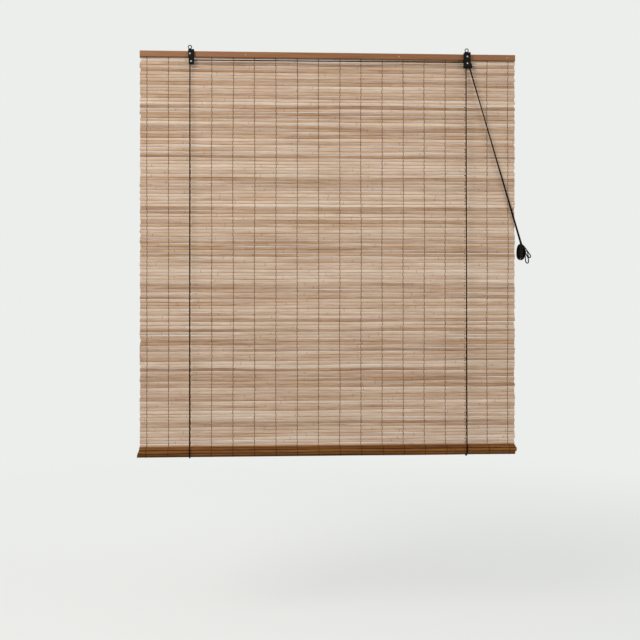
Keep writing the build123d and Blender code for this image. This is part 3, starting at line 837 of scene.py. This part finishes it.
def batten_pins():
    """Flat-headed pins in the batten's face, with eased rims toward the room."""
    deselect_all()
    bpy.ops.mesh.primitive_cylinder_add(vertices=16, radius=1.5 * MM, depth=1.0 * MM)
    pattern = bpy.context.object
    bpy.ops.object.mode_set(mode="EDIT")
    pick_edges(pattern, lambda a, b: a.z > 0 and b.z > 0)
    bpy.ops.mesh.bevel(offset=0.4 * MM, segments=2, affect="EDGES")
    bpy.ops.mesh.select_all(action="SELECT")
    bpy.ops.transform.rotate(value=math.pi / 2, orient_axis="X", center_override=(0, 0, 0))
    bpy.ops.object.mode_set(mode="OBJECT")
    pattern.data.transform(Matrix.Rotation(math.pi, 4, "Z"))
    pin_xs = (-266 * MM, 223 * MM, 573 * MM)
    pin_y = batten_low.y - 0.2 * MM
    middle_z = (batten_low.z + batten_high.z) / 2
    pins = [copied(pattern, (x, pin_y, middle_z)) for x in pin_xs]
    bpy.data.objects.remove(pattern)
    return joined("batten_pins", pins, bright_plate)


for piece, slot in ((string_knots(), "string"), (batten_pins(), "bright_steel")):
    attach(piece, "head")


# Finishes of the CAD nodes that stay
finishes = {
    "head_batten": batten_wood,
    "bottom_dowel": dowel_wood,
    "mat_staples": staple_steel,
    "cord_staples": staple_steel,
    "left_back_plate": black_paint,
    "left_front_plate": black_paint,
    "left_spacer": black_paint,
    "right_back_plate": black_paint,
    "right_front_plate": black_paint,
    "right_spacer": black_paint,
    "lock_cam": black_paint,
    "cam_pin": black_paint,
    "stop_post": black_paint,
    "left_screw": bright_plate,
    "right_screw": bright_plate,
    "left_axle": bright_plate,
    "right_axle": bright_plate,
    "left_sheave": sheave_nylon,
    "right_rear_sheave": sheave_nylon,
    "right_front_sheave": sheave_nylon,
    "cord_cleat": cleat_plastic,
}
for node_name, material in finishes.items():
    node = frame["nodes"][node_name]
    node.data.materials.clear()
    node.data.materials.append(material)


# Camera at the photograph's viewing angle
eye_pixel_x, eye_pixel_y = 329.2, 49.3
metres_per_pixel = 3.1936 * MM
horizon_pixel_y = 276
image_side = 640
camera_distance = 3.6
camera_turn = math.radians(-3.6)
horizon_z = (eye_pixel_y - horizon_pixel_y) * metres_per_pixel
aim = Vector(((image_side / 2 - eye_pixel_x) * metres_per_pixel, mat_front_y, horizon_z))
camera_data = bpy.data.cameras.new("camera")
sensor_width = 36
camera_data.sensor_width = sensor_width
camera_data.lens = sensor_width * camera_distance / (image_side * metres_per_pixel)
camera_data.shift_y = (horizon_pixel_y - image_side / 2) / image_side
camera = bpy.data.objects.new("camera", camera_data)
back = Vector((math.sin(camera_turn), -math.cos(camera_turn), 0))
camera.location = aim + camera_distance * back
camera.rotation_euler = back.to_track_quat("Z", "Y").to_euler()
bpy.context.collection.objects.link(camera)
bpy.context.scene.camera = camera


# Pale floor that runs into the backdrop, and soft lamps
backdrop_colour = srgb(236, 238, 235)


def seen_rays(tree):
    """1 for rays that show the background to the camera, straight, mirrored or through glass."""
    light_path = add_node(tree, "ShaderNodeLightPath").outputs
    seen = math_node(tree, "MAXIMUM", light_path["Is Camera Ray"], light_path["Is Glossy Ray"])
    return math_node(tree, "MAXIMUM", seen, light_path["Is Transmission Ray"])


def mix_shaders(tree, factor, first, second):
    """Mixes two shaders by a factor link."""
    node = add_node(tree, "ShaderNodeMixShader")
    for socket, link in zip(node.inputs, (factor, first, second)):
        tree.links.new(link, socket)
    return node.outputs[0]


deselect_all()
floor_side, floor_drop = 14, 0.62
bpy.ops.mesh.primitive_plane_add(size=floor_side, location=(0, 0, roll_z - floor_drop))
floor = bpy.context.object
floor.name = "floor"
floor_paint, floor_tree, floor_shader = new_material("floor_paint", roughness=0.9)
floor_shader.inputs["Base Color"].default_value = srgb(232, 233, 230)
floor_spot = add_node(floor_tree, "ShaderNodeVectorMath", operation="LENGTH")
floor_tree.links.new(add_node(floor_tree, "ShaderNodeTexCoord").outputs["Object"], floor_spot.inputs[0])
fade = add_node(floor_tree, "ShaderNodeMapRange", interpolation_type="SMOOTHSTEP")
for socket, value in (("From Min", 0.4), ("From Max", 4.0), ("To Min", 0.45), ("To Max", 1.0)):
    fade.inputs[socket].default_value = value
floor_tree.links.new(floor_spot.outputs["Value"], fade.inputs["Value"])
glow = add_node(floor_tree, "ShaderNodeEmission", Color=backdrop_colour)
dull = add_node(floor_tree, "ShaderNodeBsdfDiffuse", Color=(0.25, 0.25, 0.24, 1))
pale = mix_shaders(floor_tree, fade.outputs[0], floor_shader.outputs[0], glow.outputs[0])
floor_look = mix_shaders(floor_tree, seen_rays(floor_tree), dull.outputs[0], pale)
floor_tree.links.new(floor_look, floor_tree.nodes["Material Output"].inputs["Surface"])
floor.data.materials.append(floor_paint)


def add_lamp(name, place, size, power, colour):
    """A square soft lamp that looks at the middle of the blind."""
    lamp_data = bpy.data.lights.new(name, "AREA")
    lamp_data.size = size
    lamp_data.energy = power
    lamp_data.color = colour
    lamp = bpy.data.objects.new(name, lamp_data)
    lamp.location = place
    away = Vector(place) - Vector((0, 0, roll_z / 2))
    lamp.rotation_euler = away.to_track_quat("Z", "Y").to_euler()
    bpy.context.collection.objects.link(lamp)


add_lamp("key_lamp", (-2.0, -2.8, 1.4), size=1.8, power=90, colour=(1.0, 0.98, 0.95))
add_lamp("fill_lamp", (2.6, -2.6, 0.2), size=2.4, power=36, colour=(0.96, 0.98, 1.0))
add_lamp("rear_lamp", (-1.2, 2.6, 0.6), size=2.4, power=42, colour=(1.0, 0.99, 0.97))

world = bpy.data.worlds.new("studio")
world.use_nodes = True
bpy.context.scene.world = world
sky = world.node_tree
sky_place = add_node(sky, "ShaderNodeSeparateXYZ")
sky.links.new(add_node(sky, "ShaderNodeTexCoord").outputs["Generated"], sky_place.inputs[0])
height = add_node(sky, "ShaderNodeMapRange")
height.inputs["From Min"].default_value = -1
sky.links.new(sky_place.outputs[2], height.inputs["Value"])
sky_light = mix_colour(sky, height.outputs[0], (0.12, 0.12, 0.12, 1), (0.56, 0.56, 0.56, 1))
backdrop = mix_colour(sky, seen_rays(sky), sky_light, backdrop_colour)
sky.links.new(backdrop, sky.nodes["Background"].inputs["Color"])
bpy.context.scene.view_settings.view_transform = "Standard"
